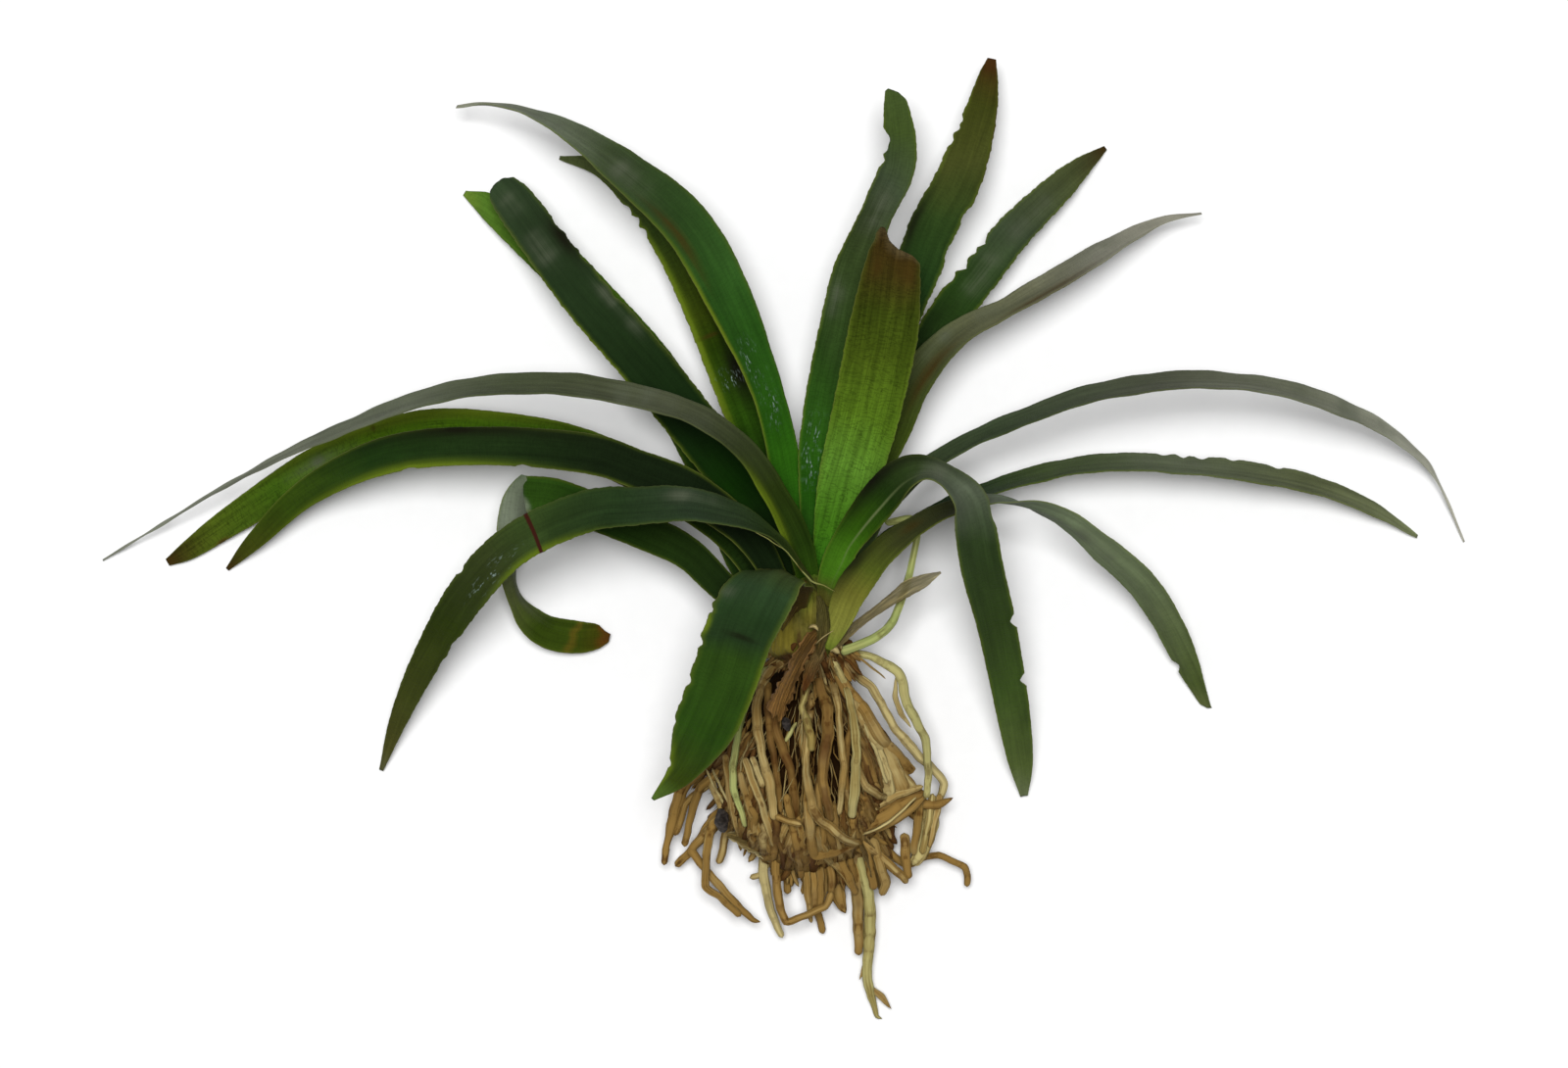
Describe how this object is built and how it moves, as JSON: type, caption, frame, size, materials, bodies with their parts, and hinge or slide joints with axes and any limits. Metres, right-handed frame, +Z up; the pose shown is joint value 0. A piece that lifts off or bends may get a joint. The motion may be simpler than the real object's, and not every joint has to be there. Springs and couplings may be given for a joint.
{
  "type": "bare-rooted sagittaria plant",
  "caption": "Strap-leaved aquarium plant with bare roots, lying on its side, for planting in an aquarium or pond.",
  "frame": {"origin": "middle of the footprint of the lying plant, on the table under it", "axes": "+Z up from the table; +Y along the plant from its roots to its upright leaves; +X to the right, along its widest spread, seen from above with the leaves pointing away"},
  "size_m": [0.2839, 0.1985, 0.0501],
  "materials": {
    "leaf_deep": "fresh deep green leaf, satin gloss, fine lengthwise veins",
    "leaf_grey": "fresh leaf with a grey-green sheen where it turns edge-on",
    "leaf_bright": "fresh yellow-green leaf with a fine net of darker veins",
    "crown": "yellowish leaf sheaths and brown papery membranes",
    "root": "damp tan root, matte, with brown stains",
    "pale_root": "smooth young root, pale yellow-green",
    "mat": "dark tangle of fine brown roots and old soil",
    "bract": "thin papery beige bract",
    "grit": "black gravel crumb"
  },
  "bodies": {
    "root": {"crown": "crown", "leaf_centre_short": "leaf_bright", "leaf_tall_left": "leaf_deep", "leaf_tall_right": "leaf_deep", "leaf_upper_right": "leaf_deep", "leaf_right_grey": "leaf_grey", "leaf_right_arch": "leaf_deep", "leaf_right_long": "leaf_grey", "leaf_right_low_long": "leaf_deep", "leaf_right_drooping": "leaf_deep", "leaf_left_long": "leaf_grey", "leaf_left_arch": "leaf_deep", "leaf_left_pair_front": "leaf_deep", "leaf_left_pair_back": "leaf_bright", "leaf_left_hooked": "leaf_deep", "leaf_upper_left_front": "leaf_deep", "leaf_upper_left_back": "leaf_bright", "leaf_top_left_broad": "leaf_deep", "leaf_top_left_under": "leaf_deep", "leaf_front_flap": "leaf_deep", "bract": "bract", "runner": "pale_root", "root_mat": "mat", "root_main_left": "root", "root_pale_left": "pale_root", "root_sheath": "root", "root_inner_pale": "pale_root", "root_front_long": "root", "root_elbow": "root", "root_right_1": "root", "root_right_2": "root", "root_right_pale": "pale_root", "root_diagonal": "root", "root_under_skin": "root", "root_outer_right": "root", "root_outer_pale": "pale_root", "root_left_outer": "root", "root_left_inner": "root", "root_left_low": "root", "root_left_bent": "root", "root_left_kinked": "root", "root_left_short": "root", "root_bottom_white": "pale_root", "root_bottom_hooked": "root", "root_bottom_stub": "root", "root_bottom_thin": "root", "root_bottom_broad": "root", "root_bottom_spur": "root", "root_tap": "root", "root_lower_right": "root", "root_arm": "root", "root_right_flat": "root", "root_right_spike": "root", "root_right_cross": "root", "grit_left": "grit", "grit_centre": "grit"}
  },
  "joints": []
}
